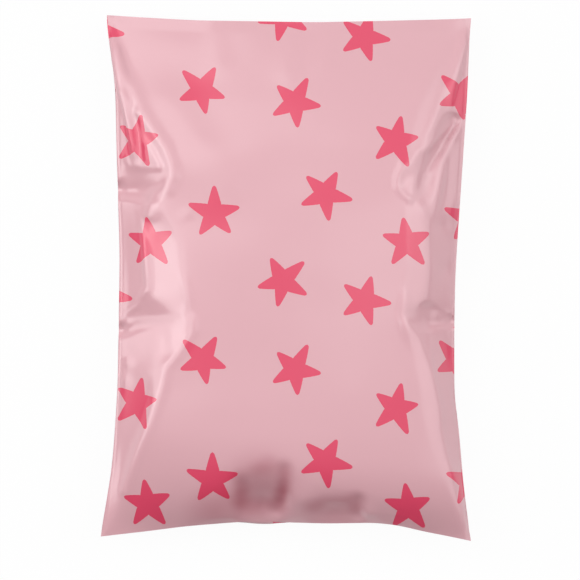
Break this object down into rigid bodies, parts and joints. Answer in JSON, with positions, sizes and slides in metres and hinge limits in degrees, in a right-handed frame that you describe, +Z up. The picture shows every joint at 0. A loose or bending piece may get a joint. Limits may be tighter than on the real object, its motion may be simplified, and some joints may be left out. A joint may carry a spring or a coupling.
{
  "type": "poly mailer bag",
  "caption": "Filled and sealed plastic film mailing bag lying on its back, a soft pillow with thin welded sides, pulled-in edges, pointed corners and a glued flap behind.",
  "frame": {"origin": "under the middle of the bag, on the surface that it lies on", "axes": "+Z up out of the front face, +Y along the bag towards the flap's fold, +X across the bag to the right as seen from the front"},
  "size_m": [0.2476, 0.3496, 0.052],
  "materials": {
    "printed_film": "pale pink polyethylene film with a soft gloss, printed all over with scattered deep pink stars"
  },
  "bodies": {
    "root": {"mailer_bag": "printed_film"}
  },
  "joints": []
}
